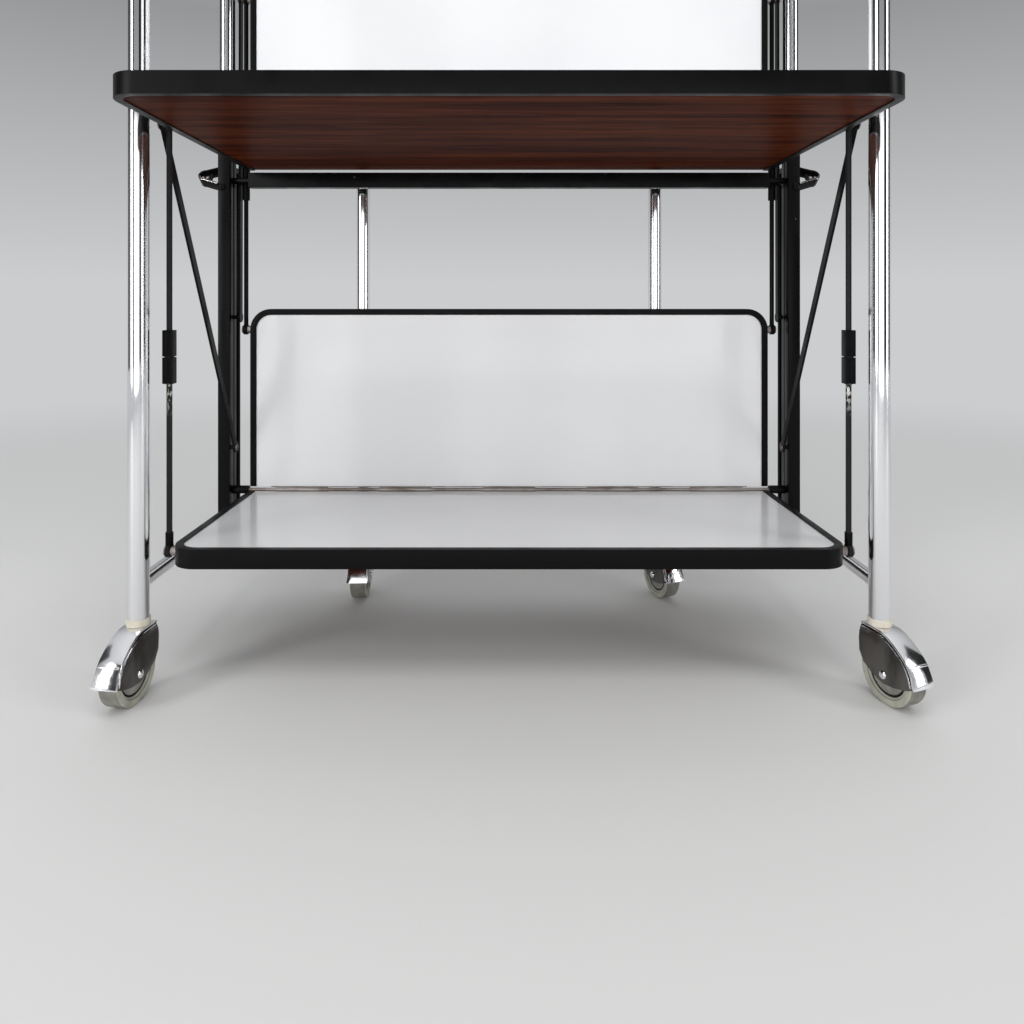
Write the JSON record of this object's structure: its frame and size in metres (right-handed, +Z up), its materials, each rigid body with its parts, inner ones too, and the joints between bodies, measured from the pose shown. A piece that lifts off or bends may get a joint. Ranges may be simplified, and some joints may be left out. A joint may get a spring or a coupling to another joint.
{
  "type": "drop leaf tea trolley",
  "caption": "Two-tier tea trolley with tubular side loops on swivel casters; linked tray leaves hinge up about a centre frame, rear legs swing on gates.",
  "frame": {"origin": "middle of the footprint, on the floor", "axes": "X along the trays, -Y to the open front leaves, Z up"},
  "size_m": [0.7156, 0.358, 0.8276],
  "materials": {
    "chrome": "polished plating",
    "black_metal": "satin black paint",
    "steel": "plain steel",
    "board_core": "chipboard",
    "white_laminate": "glossy laminate",
    "wood_laminate": "glossy wood-grain laminate",
    "black_edging": "satin",
    "tyre": "matte",
    "hub": "moulded",
    "collar": "moulded"
  },
  "bodies": {
    "frame": {"side_loop_left": "chrome", "side_loop_right": "chrome", "bottom_rail_left": "chrome", "bottom_rail_right": "chrome", "centre_post_left": "black_metal", "centre_post_right": "black_metal", "strip_loop_left": "chrome", "strip_loop_right": "chrome", "cross_bar": "black_metal", "lower_tie": "black_metal", "hinge_rods": "steel", "gate_lugs": "black_metal", "rear_link_rods": "black_metal", "rear_stays": "black_metal", "front_collars": "collar", "rear_upper_board": "board_core", "rear_upper_top_laminate": "white_laminate", "rear_upper_bottom_laminate": "wood_laminate", "rear_upper_edging": "black_edging", "rear_upper_fittings": "steel", "rear_lower_board": "board_core", "rear_lower_top_laminate": "white_laminate", "rear_lower_bottom_laminate": "wood_laminate", "rear_lower_edging": "black_edging", "rear_lower_fittings": "steel"},
    "upper_leaf": {"front_upper_board": "board_core", "front_upper_top_laminate": "white_laminate", "front_upper_bottom_laminate": "wood_laminate", "front_upper_edging": "black_edging", "front_upper_fittings": "steel"},
    "lower_leaf": {"front_lower_board": "board_core", "front_lower_top_laminate": "white_laminate", "front_lower_bottom_laminate": "wood_laminate", "front_lower_edging": "black_edging", "front_lower_fittings": "steel"},
    "link_rod_left": {"front_link_rod_left": "black_metal"},
    "stay_left": {"front_stay_left": "black_metal"},
    "rear_gate_left": {"rear_leg_left": "chrome", "gate_tube_left": "black_metal", "gate_arms_left": "chrome", "rear_left_collar": "collar"},
    "link_rod_right": {"front_link_rod_right": "black_metal"},
    "stay_right": {"front_stay_right": "black_metal"},
    "rear_gate_right": {"rear_leg_right": "chrome", "gate_tube_right": "black_metal", "gate_arms_right": "chrome", "rear_right_collar": "collar"},
    "front_left_caster": {"front_left_hood": "chrome"},
    "front_left_wheel": {"front_left_tyre": "tyre", "front_left_hub": "hub"},
    "front_right_caster": {"front_right_hood": "chrome"},
    "front_right_wheel": {"front_right_tyre": "tyre", "front_right_hub": "hub"},
    "rear_left_caster": {"rear_left_hood": "chrome"},
    "rear_left_wheel": {"rear_left_tyre": "tyre", "rear_left_hub": "hub"},
    "rear_right_caster": {"rear_right_hood": "chrome"},
    "rear_right_wheel": {"rear_right_tyre": "tyre", "rear_right_hub": "hub"}
  },
  "joints": [
    {"name": "upper_leaf_fold", "type": "hinge", "parent": "frame", "child": "upper_leaf", "pos_m": [0, 0.13302, 0.5156], "axis": [-1, 0, 0], "range_deg": [0, 90]},
    {"name": "lower_leaf_fold", "type": "hinge", "parent": "frame", "child": "lower_leaf", "pos_m": [0, 0.13302, 0.1296], "axis": [-1, 0, 0], "range_deg": [0, 90]},
    {"name": "link_rod_left_turn", "type": "hinge", "parent": "upper_leaf", "child": "link_rod_left", "pos_m": [-0.3076, -0.05198, 0.5065], "axis": [-1, 0, 0], "range_deg": [-90, 0]},
    {"name": "stay_left_turn", "type": "hinge", "parent": "upper_leaf", "child": "stay_left", "pos_m": [-0.3138, -0.05198, 0.5065], "axis": [-1, 0, 0], "range_deg": [-62, 0]},
    {"name": "rear_gate_left_swing", "type": "hinge", "parent": "frame", "child": "rear_gate_left", "pos_m": [-0.3263, 0.15702, 0.3], "axis": [0, 0, 1], "range_deg": [0, 87]},
    {"name": "link_rod_right_turn", "type": "hinge", "parent": "upper_leaf", "child": "link_rod_right", "pos_m": [0.3076, -0.05198, 0.5065], "axis": [-1, 0, 0], "range_deg": [-90, 0]},
    {"name": "stay_right_turn", "type": "hinge", "parent": "upper_leaf", "child": "stay_right", "pos_m": [0.3138, -0.05198, 0.5065], "axis": [-1, 0, 0], "range_deg": [-62, 0]},
    {"name": "rear_gate_right_swing", "type": "hinge", "parent": "frame", "child": "rear_gate_right", "pos_m": [0.3263, 0.15702, 0.3], "axis": [0, 0, -1], "range_deg": [0, 87]},
    {"name": "front_left_swivel", "type": "hinge", "parent": "frame", "child": "front_left_caster", "pos_m": [-0.3263, -0.07038, 0.06], "axis": [0, 0, 1], "continuous": true},
    {"name": "front_left_roll", "type": "hinge", "parent": "front_left_caster", "child": "front_left_wheel", "pos_m": [-0.32832, -0.08474, 0.026], "axis": [0.9903, -0.1392, 0], "continuous": true},
    {"name": "front_right_swivel", "type": "hinge", "parent": "frame", "child": "front_right_caster", "pos_m": [0.3263, -0.07038, 0.06], "axis": [0, 0, 1], "continuous": true},
    {"name": "front_right_roll", "type": "hinge", "parent": "front_right_caster", "child": "front_right_wheel", "pos_m": [0.33126, -0.084, 0.026], "axis": [0.9397, 0.342, 0], "continuous": true},
    {"name": "rear_left_swivel", "type": "hinge", "parent": "rear_gate_left", "child": "rear_left_caster", "pos_m": [-0.175, 0.16402, 0.06], "axis": [0, 0, 1], "continuous": true},
    {"name": "rear_left_roll", "type": "hinge", "parent": "rear_left_caster", "child": "rear_left_wheel", "pos_m": [-0.17449, 0.14953, 0.026], "axis": [0.9994, 0.0349, 0], "continuous": true},
    {"name": "rear_right_swivel", "type": "hinge", "parent": "rear_gate_right", "child": "rear_right_caster", "pos_m": [0.175, 0.16402, 0.06], "axis": [0, 0, 1], "continuous": true},
    {"name": "rear_right_roll", "type": "hinge", "parent": "rear_right_caster", "child": "rear_right_wheel", "pos_m": [0.17996, 0.1504, 0.026], "axis": [0.9397, 0.342, 0], "continuous": true}
  ],
  "couplings": [
    {"joint": "lower_leaf_fold", "follows": "upper_leaf_fold", "ratio": 1},
    {"joint": "link_rod_left_turn", "follows": "upper_leaf_fold", "ratio": -1},
    {"joint": "stay_left_turn", "follows": "upper_leaf_fold", "ratio": -0.68574},
    {"joint": "link_rod_right_turn", "follows": "upper_leaf_fold", "ratio": -1},
    {"joint": "stay_right_turn", "follows": "upper_leaf_fold", "ratio": -0.68574}
  ]
}
